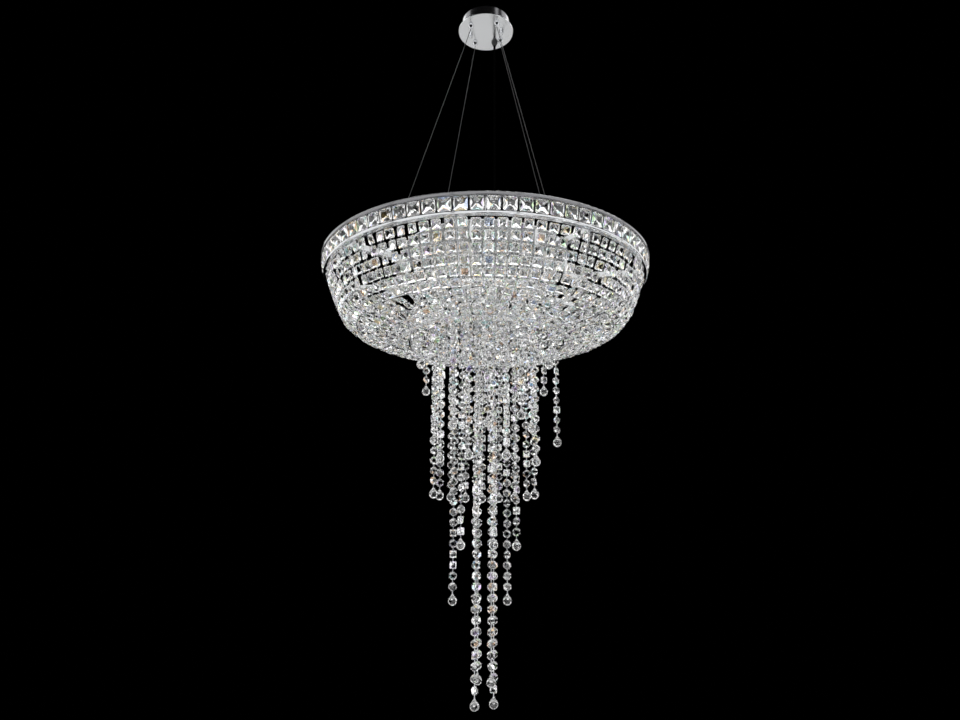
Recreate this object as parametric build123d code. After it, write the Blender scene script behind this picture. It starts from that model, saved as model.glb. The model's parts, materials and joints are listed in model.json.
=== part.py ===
from build123d import *
import math
import os

# Bowl chandelier: a crystal bowl under a tiled rim, hung on four wires, with a
# cascade of bead strands through its open floor. Millimetres, +Z up, origin on
# the ceiling over the middle. An azimuth is counted from -Y towards +X.

# Ceiling canopy and its bracket
CANOPY_LIP = 10.5
CANOPY_HEIGHT = 32.5
CANOPY_WALL = 1.5
CANOPY_FLOOR = 3.0
CANOPY_EDGE_RADIUS = 1.0
BRACKET_EDGE = 2.5
BRACKET_CLEARANCE = 4.0
BRACKET_THICKNESS = 3.0
BOX_SCREW_SPACING = 89.0
BOX_SLOT_WIDTH = 5.2
BOX_SLOT_LENGTH = 14.0
SUPPLY_HOLE_RADIUS = 10.0
STUD_OFFSET = 40.0
STUD_RADIUS = 2.5
STUD_HOLE_CLEARANCE = 0.3
STUD_THREAD_IN_NUT = 7.0
CAP_NUT_ACROSS_FLATS = 9.0
CAP_NUT_HEX_HEIGHT = 5.0
CAP_NUT_END_WALL = 3.0
RUNNING_CLEARANCE = 0.05
FACE_GAP = 0.1
TERMINAL_LENGTH = 30.0
TERMINAL_WIDTH = 14.0
TERMINAL_HEIGHT = 11.0
TERMINAL_SCREW_RADIUS = 1.6
TERMINAL_SCREW_DEPTH = 3.0
TERMINAL_WAYS = 3

# Wire grippers, wires and supply cord
WIRE_COUNT = 4
FIRST_WIRE_AZIMUTH = 36.0
GRIPPER_CIRCLE_RADIUS = 47.0
GRIPPER_NECK_RADIUS = 4.0
GRIPPER_NECK_LENGTH = 11.0
GRIPPER_FLANGE_RADIUS = 7.0
GRIPPER_FLANGE_HEIGHT = 3.0
GRIPPER_CONE_LENGTH = 5.0
GRIPPER_TIP_RADIUS = 4.0
LOCK_NUT_ACROSS_FLATS = 13.0
LOCK_NUT_HEIGHT = 4.0
COLLAR_RADIUS = 2.6
COLLAR_SHOWN = 3.0
COLLAR_HELD = 5.0
COLLAR_TRAVEL = 2.5
WIRE_RADIUS = 0.75
WIRE_BORE_CLEARANCE = 0.25
WIRE_TAIL_IN_CANOPY = 6.0
CORD_RADIUS = 3.0
CORD_AZIMUTH = 148.0
CORD_CIRCLE_RADIUS = 43.0
GLAND_NECK_RADIUS = 5.0
GLAND_FLANGE_RADIUS = 8.0
GLAND_FLANGE_HEIGHT = 3.0
GLAND_CONE_LENGTH = 9.0
GLAND_TIP_WALL = 1.0
SEAT_GAP = 0.3

# Rim: two hoops with square crystals between them
RIM_RADIUS = 378.0
RIM_TOP = -683.2
UPPER_HOOP_DEPTH = 12.0
UPPER_HOOP_HEIGHT = 8.0
LOWER_HOOP_INSET = 6.5
LOWER_HOOP_DEPTH = 5.7
LOWER_HOOP_HEIGHT = 6.0
HOOP_EDGE_RADIUS = 1.5
FLANGE_WIDTH = 6.0
FLANGE_THICKNESS = 2.0
TILE_SIZE = 27.6
TILE_GAP = 3.4
TILE_BEVEL = 4.0
TILE_GIRDLE = 1.5
TILE_BACK_DEPTH = 5.5
TILE_BACK_TAPER = 30.0
TILE_STANDS_OUT = 1.5
TILE_END_GAP = 1.2
TILE_PIN_RADIUS = 0.8
POST_COUNT = 8
POST_RADIUS = 1.2

# Carrying frame: spokes, hanging plate on columns, hub and lamps
SPOKE_COUNT = 8
SPOKE_SIZE = 12.0
SPOKE_WALL = 1.5
SPOKE_ON_FLANGE = 2.5
COLUMN_RADIUS = 6.0
COLUMN_CLEARANCE = 12.0
PLATE_OVER_SPOKE = 57.2
PLATE_OVERHANG = 3.0
PLATE_THICKNESS = 2.0
HUB_RADIUS = 55.0
HUB_WALL = 2.0
HUB_HEIGHT = 30.0
HUB_COVER_THICKNESS = 2.5
HUB_SCREW_COUNT = 3
HUB_SCREW_RADIUS = 2.0
HUB_SCREW_HEAD_RADIUS = 4.0
HUB_SCREW_HEAD_HEIGHT = 2.5
HUB_SCREW_LENGTH = 14.0
HUB_LUG_RADIUS = 5.0
CORD_BOSS_RADIUS = 6.0
CORD_BOSS_HEIGHT = 8.0
LEAD_RADIUS = 2.2
LEAD_OVER_PLATE = 7.0
ANCHOR_CIRCLE_RADIUS = 255.0
ANCHOR_RADIUS = 5.0
ANCHOR_HEIGHT = 10.0
FERRULE_RADIUS = 2.2
FERRULE_LENGTH = 16.0
LAMP_CIRCLE_RADIUS = 225.0
SOCKET_RADIUS = 11.0
SOCKET_HEIGHT = 30.0
LAMP_BASE_RADIUS = 8.0
LAMP_BASE_LENGTH = 12.0
LAMP_BASE_CLEARANCE = 0.1
LAMP_BULB_RADIUS = 10.0
LAMP_BULB_LENGTH = 46.0

# Bead strands of the cascade, from the middle out
BEAD_PITCH = 22.3
BEAD_HEIGHT = 17.0
BEAD_RADIUS = 8.3
BEAD_BAND = 6.6
PIN_RADIUS = 1.0
PIN_HOLE_CLEARANCE = 0.3
STRAND_HEAD_RADIUS = 2.4
STRAND_HEAD_HEIGHT = 3.0
FIRST_BEAD_DROP = 4.0
DROP_RADIUS = 9.5
DROP_NECK_LENGTH = 15.0
CORE_CIRCLE_RADIUS = 24.0
CORE_BEAD_COUNTS = (41, 43, 41, 43)
INNER_CIRCLE_RADIUS = 70.0
INNER_COUNT = 6
INNER_FIRST_AZIMUTH = 15.0
INNER_NEAR_BEAD_COUNT = 29
INNER_FAR_BEAD_COUNT = 34
MIDDLE_CIRCLE_RADIUS = 113.0
MIDDLE_COUNT = 18
MIDDLE_FIRST_AZIMUTH = 3.0
MIDDLE_NEAR_BEAD_COUNTS = (18, 21, 17, 18, 21, 19, 21, 18, 21)
MIDDLE_FAR_BEAD_COUNT = 24
OUTER_CIRCLE_RADIUS = 160.0
OUTER_COUNT = 24
OUTER_FIRST_AZIMUTH = 0.0
OUTER_NEAR_BEAD_COUNT = 12
OUTER_FAR_BEAD_COUNT = 13
OUTER_SIDE_BEAD_COUNT = 9
OUTER_SIDE_SHARE = 0.95
LONG_STRAND_AZIMUTH = 90.0
LONG_STRAND_BEAD_COUNT = 19

# Bowl: leaning wall, round corner and sloping floor of square crystals
BOWL_WALL_LEAN = 21.5
BOWL_WALL_LENGTH = 75.2
BOWL_CORNER_RADIUS = 82.0
BOWL_FLOOR_SLOPE = 17.3
SQUARE_WIDTH = 20.0
SQUARE_LENGTH = 19.0
SQUARE_THICKNESS = 8.0
SQUARE_PITCH = 23.4
FIRST_SQUARE_DROP = 2.0
WALL_SQUARE_GAP = 1.3
WALL_SQUARES = 6
WALL_STRAND_NODES = 4
FLOOR_SQUARE_GAP = 2.0
FLOOR_STRAND_NODES = 2
FLOOR_EDGE_CLEARANCE = 11.0
MID_HOOP_RADIUS = 1.2
BOTTOM_RING_ROD = 2.5
RIB_RADIUS = 3.0

# Levels and radii that follow from the sizes above
BRACKET_RADIUS = BOX_SCREW_SPACING / 2 + BOX_SLOT_LENGTH / 2 + BRACKET_EDGE
CANOPY_CUP_RADIUS = BRACKET_RADIUS + BRACKET_CLEARANCE + CANOPY_WALL
CANOPY_RADIUS = CANOPY_CUP_RADIUS + CANOPY_LIP
CANOPY_BOTTOM = -CANOPY_HEIGHT
CANOPY_INSIDE = CANOPY_BOTTOM + CANOPY_FLOOR
STUD_BOTTOM = CANOPY_BOTTOM - STUD_THREAD_IN_NUT
GRIPPER_TIP = CANOPY_BOTTOM - GRIPPER_FLANGE_HEIGHT - GRIPPER_CONE_LENGTH
COLLAR_BOTTOM = GRIPPER_TIP - COLLAR_SHOWN
GLAND_TIP = CANOPY_BOTTOM - GLAND_FLANGE_HEIGHT - GLAND_CONE_LENGTH
UPPER_HOOP_BOTTOM = RIM_TOP - UPPER_HOOP_HEIGHT
BAND_LENGTH = TILE_SIZE + 2 * TILE_END_GAP
TILE_LEAN = math.asin(LOWER_HOOP_INSET / BAND_LENGTH)
LOWER_HOOP_TOP = UPPER_HOOP_BOTTOM - BAND_LENGTH * math.cos(TILE_LEAN)
RIM_BOTTOM = LOWER_HOOP_TOP - LOWER_HOOP_HEIGHT
LOWER_HOOP_RADIUS = RIM_RADIUS - LOWER_HOOP_INSET
TILE_GIRDLE_FRONT = TILE_STANDS_OUT - TILE_BEVEL
TILE_GIRDLE_BACK = TILE_GIRDLE_FRONT - TILE_GIRDLE
TILE_FOOT_RADIUS = LOWER_HOOP_RADIUS + TILE_GIRDLE_BACK
TILE_COUNT = int(2 * math.pi * TILE_FOOT_RADIUS / (TILE_SIZE + TILE_GAP))
LOWER_HOOP_INNER_RADIUS = LOWER_HOOP_RADIUS - LOWER_HOOP_DEPTH
FLANGE_INNER_RADIUS = LOWER_HOOP_INNER_RADIUS - FLANGE_WIDTH
FLANGE_TOP = RIM_BOTTOM + FLANGE_THICKNESS
WALL_STRAND_RADIUS = FLANGE_INNER_RADIUS + STRAND_HEAD_RADIUS + 2 * SEAT_GAP
SPOKE_BOTTOM = FLANGE_TOP
SPOKE_TOP = SPOKE_BOTTOM + SPOKE_SIZE
SPOKE_MIDDLE = SPOKE_BOTTOM + SPOKE_SIZE / 2
SPOKE_END_RADIUS = FLANGE_INNER_RADIUS + SPOKE_ON_FLANGE
SPOKE_PITCH = 360 / SPOKE_COUNT
COLUMN_CIRCLE_RADIUS = OUTER_CIRCLE_RADIUS + BEAD_RADIUS + COLUMN_CLEARANCE + COLUMN_RADIUS
LEAD_BORE_RADIUS = LEAD_RADIUS + SEAT_GAP
PLATE_RADIUS = COLUMN_CIRCLE_RADIUS + COLUMN_RADIUS + PLATE_OVERHANG
PLATE_BOTTOM = SPOKE_TOP + PLATE_OVER_SPOKE
PLATE_TOP = PLATE_BOTTOM + PLATE_THICKNESS
LEAD_LEVEL = PLATE_TOP + LEAD_OVER_PLATE
HUB_TOP = PLATE_TOP + HUB_HEIGHT
HUB_COVER_TOP = HUB_TOP + HUB_COVER_THICKNESS
ANCHOR_TOP = SPOKE_TOP + ANCHOR_HEIGHT
PIN_HOLE_RADIUS = PIN_RADIUS + PIN_HOLE_CLEARANCE
WIRE_BORE_RADIUS = WIRE_RADIUS + WIRE_BORE_CLEARANCE
BOWL_CORNER_TURN = 90 - BOWL_FLOOR_SLOPE - BOWL_WALL_LEAN
BOWL_CORNER_LENGTH = math.radians(BOWL_CORNER_TURN) * BOWL_CORNER_RADIUS
FIRST_SQUARE_ALONG = FIRST_SQUARE_DROP + SQUARE_LENGTH / 2
MID_HOOP_ALONG = FIRST_SQUARE_ALONG + (WALL_SQUARES - 0.5) * SQUARE_PITCH
FLOOR_EDGE_RADIUS = OUTER_CIRCLE_RADIUS + DROP_RADIUS + FLOOR_EDGE_CLEARANCE
RIB_OFFSET = SQUARE_THICKNESS / 2 + SEAT_GAP + RIB_RADIUS

BOTTOM_UP = (Align.CENTER, Align.CENTER, Align.MIN)


def write(name, shapes):
    """Write one node's STEP file from one solid or a list of solids."""
    shape = Compound(children=list(shapes)) if isinstance(shapes, list) else shapes
    shape.label = name
    export_step(shape, f"parts/{name}.step")


def at(azimuth, radius=0.0, height=0.0):
    """A place whose local X points outward at an azimuth."""
    return Rot(0, 0, azimuth - 90) * Pos(radius, 0, height)


def cylinder(radius, low, high):
    """An upright cylinder between two heights."""
    return Pos(0, 0, low) * Cylinder(radius, high - low, align=BOTTOM_UP)


def ring(inner, outer, low, high):
    """A flat hoop between two radii and two heights."""
    return cylinder(outer, low, high) - cylinder(inner, low, high)


def cone(low_radius, high_radius, low, high):
    return Pos(0, 0, low) * Cone(low_radius, high_radius, high - low, align=BOTTOM_UP)


def hexagon(across_flats, low, high):
    return Pos(0, 0, low) * extrude(RegularPolygon(across_flats / 2, 6, major_radius=False), high - low)


def rod(start, end, radius):
    """A round bar from one point to another."""
    start, end = Vector(start), Vector(end)
    axis = end - start
    return Plane(origin=start, z_dir=axis) * Cylinder(radius, axis.length, align=BOTTOM_UP)


def wire_azimuths():
    return [FIRST_WIRE_AZIMUTH + 360 / WIRE_COUNT * i for i in range(WIRE_COUNT)]


def stud_azimuths():
    """The two studs stand midway between wires, on opposite sides."""
    return even_azimuths(2, FIRST_WIRE_AZIMUTH + 180 / WIRE_COUNT)


def spoke_azimuths():
    return [FIRST_WIRE_AZIMUTH + SPOKE_PITCH * i for i in range(SPOKE_COUNT)]


def even_azimuths(count, first):
    return [first + 360 / count * i for i in range(count)]


def faces_viewer(azimuth):
    """True on the half of the round that faces -Y."""
    return math.cos(math.radians(azimuth)) > 0


# Ceiling parts
def make_ceiling_bracket():
    plate = cylinder(BRACKET_RADIUS, -BRACKET_THICKNESS, 0)
    plate -= cylinder(SUPPLY_HOLE_RADIUS, -BRACKET_THICKNESS, 0)
    slot = extrude(SlotOverall(BOX_SLOT_LENGTH, BOX_SLOT_WIDTH, rotation=90), -BRACKET_THICKNESS)
    for side in (-1, 1):
        plate -= Pos(0, side * BOX_SCREW_SPACING / 2, 0) * slot
    for azimuth in stud_azimuths():
        plate -= at(azimuth, STUD_OFFSET) * cylinder(STUD_RADIUS, -BRACKET_THICKNESS, 0)
    return plate


def make_bracket_studs():
    return [at(azimuth, STUD_OFFSET) * cylinder(STUD_RADIUS, STUD_BOTTOM, 0) for azimuth in stud_azimuths()]


def make_canopy():
    """A round plate under a narrower cup that reaches up to the ceiling."""
    cup = cylinder(CANOPY_RADIUS, CANOPY_BOTTOM, CANOPY_INSIDE)
    cup = fillet(cup.edges().filter_by(GeomType.CIRCLE), CANOPY_EDGE_RADIUS)
    cup += ring(CANOPY_CUP_RADIUS - CANOPY_WALL, CANOPY_CUP_RADIUS, CANOPY_INSIDE, 0)
    for azimuth in stud_azimuths():
        cup -= at(azimuth, STUD_OFFSET) * cylinder(STUD_RADIUS + STUD_HOLE_CLEARANCE, CANOPY_BOTTOM, 0)
    for azimuth in wire_azimuths():
        cup -= at(azimuth, GRIPPER_CIRCLE_RADIUS) * cylinder(GRIPPER_NECK_RADIUS, CANOPY_BOTTOM, 0)
    return cup - at(CORD_AZIMUTH, CORD_CIRCLE_RADIUS) * cylinder(GLAND_NECK_RADIUS, CANOPY_BOTTOM, 0)


def make_cap_nut(azimuth):
    seat = CANOPY_BOTTOM - FACE_GAP
    hex_bottom = seat - CAP_NUT_HEX_HEIGHT
    dome_radius = CAP_NUT_ACROSS_FLATS / 2
    end = STUD_BOTTOM - CAP_NUT_END_WALL
    nut = hexagon(CAP_NUT_ACROSS_FLATS, hex_bottom, seat)
    nut += cylinder(dome_radius, end, hex_bottom)
    nut = fillet(nut.edges().group_by(Axis.Z)[0], dome_radius / 2)
    nut -= cylinder(STUD_RADIUS + RUNNING_CLEARANCE, STUD_BOTTOM - FACE_GAP, seat)
    return at(azimuth, STUD_OFFSET) * nut


def make_terminal_block():
    back = -SUPPLY_HOLE_RADIUS - FACE_GAP
    place = Pos(0, back - TERMINAL_WIDTH / 2, -BRACKET_THICKNESS - TERMINAL_HEIGHT)
    block = place * Box(TERMINAL_LENGTH, TERMINAL_WIDTH, TERMINAL_HEIGHT, align=BOTTOM_UP)
    step = TERMINAL_LENGTH / TERMINAL_WAYS
    for way in range(TERMINAL_WAYS):
        x = (way - (TERMINAL_WAYS - 1) / 2) * step
        block -= place * Pos(x, 0, 0) * cylinder(TERMINAL_SCREW_RADIUS, 0, TERMINAL_SCREW_DEPTH)
    return block


# Grippers, wires and cord
def make_gripper_body(azimuth):
    flange_bottom = CANOPY_BOTTOM - GRIPPER_FLANGE_HEIGHT
    neck_top = CANOPY_BOTTOM + GRIPPER_NECK_LENGTH
    body = cylinder(GRIPPER_NECK_RADIUS, CANOPY_BOTTOM, neck_top)
    body += cylinder(GRIPPER_FLANGE_RADIUS, flange_bottom, CANOPY_BOTTOM)
    body += cone(GRIPPER_TIP_RADIUS, GRIPPER_FLANGE_RADIUS, GRIPPER_TIP, flange_bottom)
    body -= cylinder(WIRE_BORE_RADIUS, GRIPPER_TIP, neck_top)
    chamber_top = GRIPPER_TIP + COLLAR_HELD + COLLAR_TRAVEL + SEAT_GAP
    body -= cylinder(COLLAR_RADIUS + RUNNING_CLEARANCE, GRIPPER_TIP, chamber_top)
    return at(azimuth, GRIPPER_CIRCLE_RADIUS) * body


def make_gripper_nut(azimuth):
    nut = hexagon(LOCK_NUT_ACROSS_FLATS, CANOPY_INSIDE, CANOPY_INSIDE + LOCK_NUT_HEIGHT)
    nut -= cylinder(GRIPPER_NECK_RADIUS, CANOPY_INSIDE, CANOPY_INSIDE + LOCK_NUT_HEIGHT)
    return at(azimuth, GRIPPER_CIRCLE_RADIUS) * nut


def make_gripper_collar(azimuth):
    collar = ring(WIRE_BORE_RADIUS, COLLAR_RADIUS, COLLAR_BOTTOM, GRIPPER_TIP + COLLAR_HELD)
    return at(azimuth, GRIPPER_CIRCLE_RADIUS) * collar


def make_wire_tail(azimuth):
    top = CANOPY_BOTTOM + GRIPPER_NECK_LENGTH + WIRE_TAIL_IN_CANOPY
    return at(azimuth, GRIPPER_CIRCLE_RADIUS) * cylinder(WIRE_RADIUS, COLLAR_BOTTOM, top)


def wire_ends():
    """The wire's upper and lower end, in the plane of its azimuth."""
    start = Vector(GRIPPER_CIRCLE_RADIUS, 0, COLLAR_BOTTOM - SEAT_GAP)
    anchor = Vector(ANCHOR_CIRCLE_RADIUS, 0, ANCHOR_TOP)
    end = anchor + (start - anchor).normalized() * FERRULE_LENGTH
    return start, end, anchor


def make_suspension_wire(azimuth):
    start, end, anchor = wire_ends()
    clear = (end - anchor).normalized() * SEAT_GAP
    return at(azimuth) * rod(start, end + clear, WIRE_RADIUS)


def make_wire_anchor(azimuth):
    _, end, anchor = wire_ends()
    post = Pos(ANCHOR_CIRCLE_RADIUS, 0, 0) * cylinder(ANCHOR_RADIUS, SPOKE_TOP, ANCHOR_TOP)
    return at(azimuth) * (post + rod(anchor - Vector(0, 0, ANCHOR_RADIUS / 2), end, FERRULE_RADIUS))


def make_cord_gland():
    flange_bottom = CANOPY_BOTTOM - GLAND_FLANGE_HEIGHT
    gland = cylinder(GLAND_NECK_RADIUS, CANOPY_BOTTOM, CANOPY_INSIDE + LOCK_NUT_HEIGHT)
    gland += cylinder(GLAND_FLANGE_RADIUS, flange_bottom, CANOPY_BOTTOM)
    gland += cone(CORD_RADIUS + GLAND_TIP_WALL, GLAND_FLANGE_RADIUS, GLAND_TIP, flange_bottom)
    return at(CORD_AZIMUTH, CORD_CIRCLE_RADIUS) * gland


def make_gland_nut():
    nut = hexagon(2 * GLAND_FLANGE_RADIUS, CANOPY_INSIDE, CANOPY_INSIDE + LOCK_NUT_HEIGHT)
    nut -= cylinder(GLAND_NECK_RADIUS, CANOPY_INSIDE, CANOPY_INSIDE + LOCK_NUT_HEIGHT)
    return at(CORD_AZIMUTH, CORD_CIRCLE_RADIUS) * nut


def make_power_cord():
    bottom = HUB_COVER_TOP + CORD_BOSS_HEIGHT
    return at(CORD_AZIMUTH, CORD_CIRCLE_RADIUS) * cylinder(CORD_RADIUS, bottom, GLAND_TIP)


# Rim
def rounded_hoop(radius, depth, low, high):
    """A hoop whose two outer edges are rounded."""
    disc = cylinder(radius, low, high)
    disc = fillet(disc.edges().filter_by(GeomType.CIRCLE), HOOP_EDGE_RADIUS)
    return disc - cylinder(radius - depth, low, high)


def make_upper_hoop():
    return rounded_hoop(RIM_RADIUS, UPPER_HOOP_DEPTH, UPPER_HOOP_BOTTOM, RIM_TOP)


def make_lower_hoop():
    hoop = rounded_hoop(LOWER_HOOP_RADIUS, LOWER_HOOP_DEPTH, RIM_BOTTOM, LOWER_HOOP_TOP)
    hoop += ring(FLANGE_INNER_RADIUS, LOWER_HOOP_INNER_RADIUS, RIM_BOTTOM, FLANGE_TOP)
    holes = [at(a, WALL_STRAND_RADIUS) * cylinder(PIN_HOLE_RADIUS, RIM_BOTTOM, FLANGE_TOP)
             for a in wall_strand_azimuths()]
    return hoop - holes


def tile_azimuths():
    return even_azimuths(TILE_COUNT, 180 / TILE_COUNT)


def tile_place():
    """A crystal's place between the hoops: local X points out of the band, which leans with them."""
    middle = Pos(RIM_RADIUS - LOWER_HOOP_INSET / 2, 0, (UPPER_HOOP_BOTTOM + LOWER_HOOP_TOP) / 2)
    return middle * Rot(0, math.degrees(TILE_LEAN), 0)


def make_band_crystals():
    """Square crystals with a bevelled face, a straight girdle and a tapered back."""
    outline = Rectangle(TILE_SIZE, TILE_SIZE)
    front = Plane(origin=(TILE_GIRDLE_FRONT, 0, 0), x_dir=(0, 1, 0), z_dir=(1, 0, 0))
    back = Plane(origin=(TILE_GIRDLE_BACK, 0, 0), x_dir=(0, 1, 0), z_dir=(-1, 0, 0))
    tile = extrude(front.offset(-TILE_GIRDLE) * outline, TILE_GIRDLE)
    tile += extrude(front * outline, TILE_BEVEL, taper=45)
    tile += extrude(back * outline, TILE_BACK_DEPTH, taper=TILE_BACK_TAPER)
    tile = tile_place() * tile
    return [at(azimuth) * tile for azimuth in tile_azimuths()]


def make_band_pins():
    """Short pins that hold each crystal's girdle between the hoops."""
    lean_up = TILE_PIN_RADIUS * math.sin(TILE_LEAN) + FACE_GAP
    girdle = (TILE_GIRDLE_FRONT + TILE_GIRDLE_BACK) / 2
    pins = []
    for side in (-1, 1):
        room = TILE_END_GAP * math.cos(TILE_LEAN) + side * girdle * math.sin(TILE_LEAN)
        start = Vector(girdle, 0, side * TILE_SIZE / 2)
        end = start + Vector(0, 0, side * (room - lean_up) / math.cos(TILE_LEAN))
        pins.append(tile_place() * rod(start, end, TILE_PIN_RADIUS))
    return [at(azimuth) * pin for azimuth in tile_azimuths() for pin in pins]


def make_hoop_posts():
    """Thin posts between the hoops, each behind a joint of two crystals."""
    post = cylinder(POST_RADIUS, LOWER_HOOP_TOP, UPPER_HOOP_BOTTOM)
    radius = LOWER_HOOP_RADIUS - LOWER_HOOP_DEPTH / 2
    joints = [round(i * TILE_COUNT / POST_COUNT) for i in range(POST_COUNT)]
    return [at(joint * 360 / TILE_COUNT, radius) * post for joint in joints]


# Carrying frame
def make_spokes():
    """Square tubes from the columns to the lower hoop's flange, with a hole over each lamp."""
    length = RIM_RADIUS
    bore = SPOKE_SIZE - 2 * SPOKE_WALL
    middle = Pos(length / 2, 0, SPOKE_MIDDLE)
    tube = middle * Box(length, SPOKE_SIZE, SPOKE_SIZE) - middle * Box(length, bore, bore)
    inner_end = COLUMN_CIRCLE_RADIUS + COLUMN_RADIUS / 2
    tube = tube & ring(inner_end, SPOKE_END_RADIUS, SPOKE_BOTTOM, SPOKE_TOP)
    tube -= Pos(COLUMN_CIRCLE_RADIUS, 0, 0) * cylinder(COLUMN_RADIUS, SPOKE_BOTTOM, SPOKE_TOP)
    lamp_hole = cylinder(LEAD_BORE_RADIUS, SPOKE_BOTTOM, SPOKE_MIDDLE)
    tube -= Pos(LAMP_CIRCLE_RADIUS, 0, 0) * lamp_hole
    return [at(azimuth) * tube for azimuth in spoke_azimuths()]


def make_plate_columns():
    """Round columns at the spokes' inner ends that carry the plate, bored for the leads."""
    column = cylinder(COLUMN_RADIUS, SPOKE_BOTTOM, PLATE_BOTTOM)
    column -= cylinder(LEAD_BORE_RADIUS, SPOKE_MIDDLE, PLATE_BOTTOM)
    column -= rod((0, 0, SPOKE_MIDDLE), (COLUMN_RADIUS, 0, SPOKE_MIDDLE), LEAD_BORE_RADIUS)
    column -= Pos(0, 0, SPOKE_MIDDLE) * Sphere(LEAD_BORE_RADIUS)
    return [at(azimuth, COLUMN_CIRCLE_RADIUS) * column for azimuth in spoke_azimuths()]


def make_hanging_plate():
    """The round plate that every strand of the cascade hangs from."""
    pin_hole = cylinder(PIN_HOLE_RADIUS, PLATE_BOTTOM, PLATE_TOP)
    lead_hole = cylinder(LEAD_BORE_RADIUS, PLATE_BOTTOM, PLATE_TOP)
    circles = {CORE_CIRCLE_RADIUS: wire_azimuths(),
               INNER_CIRCLE_RADIUS: even_azimuths(INNER_COUNT, INNER_FIRST_AZIMUTH),
               MIDDLE_CIRCLE_RADIUS: even_azimuths(MIDDLE_COUNT, MIDDLE_FIRST_AZIMUTH),
               OUTER_CIRCLE_RADIUS: even_azimuths(OUTER_COUNT, OUTER_FIRST_AZIMUTH)}
    plate = cylinder(PLATE_RADIUS, PLATE_BOTTOM, PLATE_TOP)
    plate -= [at(a, radius) * pin_hole for radius, azimuths in circles.items() for a in azimuths]
    return plate - [at(azimuth, COLUMN_CIRCLE_RADIUS) * lead_hole for azimuth in spoke_azimuths()]


def make_hub():
    """A round box without a floor that stands on the hanging plate."""
    hub = ring(HUB_RADIUS - HUB_WALL, HUB_RADIUS, PLATE_TOP, HUB_TOP)
    lug = cylinder(HUB_LUG_RADIUS, PLATE_TOP, HUB_TOP)
    lug -= cylinder(HUB_SCREW_RADIUS, HUB_TOP - HUB_SCREW_LENGTH, HUB_TOP)
    hub += [place * lug for place in hub_screw_places()]
    wall_inside = HUB_RADIUS - 2 * HUB_WALL
    lead_hole = rod((wall_inside, 0, LEAD_LEVEL), (HUB_RADIUS, 0, LEAD_LEVEL), LEAD_BORE_RADIUS)
    return hub - [at(azimuth) * lead_hole for azimuth in spoke_azimuths()]


def hub_screw_places():
    radius = HUB_RADIUS - HUB_WALL / 2 - HUB_LUG_RADIUS
    azimuths = even_azimuths(HUB_SCREW_COUNT, FIRST_WIRE_AZIMUTH + SPOKE_PITCH / 2)
    return [at(azimuth, radius) for azimuth in azimuths]


def make_hub_cover():
    cover = cylinder(HUB_RADIUS, HUB_TOP, HUB_COVER_TOP)
    cover -= [place * cylinder(HUB_SCREW_RADIUS, HUB_TOP, HUB_COVER_TOP) for place in hub_screw_places()]
    boss = cylinder(CORD_BOSS_RADIUS, HUB_COVER_TOP, HUB_COVER_TOP + CORD_BOSS_HEIGHT)
    return cover + at(CORD_AZIMUTH, CORD_CIRCLE_RADIUS) * boss


def make_hub_screws():
    screw = cylinder(HUB_SCREW_RADIUS, HUB_TOP - HUB_SCREW_LENGTH, HUB_COVER_TOP)
    screw += cylinder(HUB_SCREW_HEAD_RADIUS, HUB_COVER_TOP, HUB_COVER_TOP + HUB_SCREW_HEAD_HEIGHT)
    return [place * screw for place in hub_screw_places()]


def make_lamp_lead():
    """A lead from the hub over the plate, down a column and along a spoke to its lamp."""
    stops = [Vector(HUB_RADIUS - 2 * HUB_WALL, 0, LEAD_LEVEL), Vector(COLUMN_CIRCLE_RADIUS, 0, LEAD_LEVEL),
             Vector(COLUMN_CIRCLE_RADIUS, 0, SPOKE_MIDDLE), Vector(LAMP_CIRCLE_RADIUS, 0, SPOKE_MIDDLE)]
    lead = Part() + [rod(a, b, LEAD_RADIUS) for a, b in zip(stops, stops[1:])]
    return lead + [Pos(*bend) * Sphere(LEAD_RADIUS) for bend in stops[1:-1]]


def make_lamp_leads():
    lead = make_lamp_lead()
    return [at(azimuth) * lead for azimuth in spoke_azimuths()]


def make_lamp_sockets():
    bottom = SPOKE_BOTTOM - SOCKET_HEIGHT
    socket = cylinder(SOCKET_RADIUS, bottom, SPOKE_BOTTOM)
    cavity = LAMP_BASE_RADIUS + LAMP_BASE_CLEARANCE
    socket -= cylinder(cavity, bottom, bottom + LAMP_BASE_LENGTH + LAMP_BASE_CLEARANCE)
    return [at(azimuth, LAMP_CIRCLE_RADIUS) * socket for azimuth in spoke_azimuths()]


def make_bulb(azimuth):
    """A plug-in bulb: a straight base and a long rounded envelope below it."""
    seat = SPOKE_BOTTOM - SOCKET_HEIGHT - FACE_GAP
    bulb = cylinder(LAMP_BASE_RADIUS, seat, seat + LAMP_BASE_LENGTH)
    envelope = cylinder(LAMP_BULB_RADIUS, seat - LAMP_BULB_LENGTH, seat)
    envelope = fillet(envelope.edges().group_by(Axis.Z)[0], LAMP_BULB_RADIUS * 0.95)
    return at(azimuth, LAMP_CIRCLE_RADIUS) * (bulb + envelope)


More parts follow.
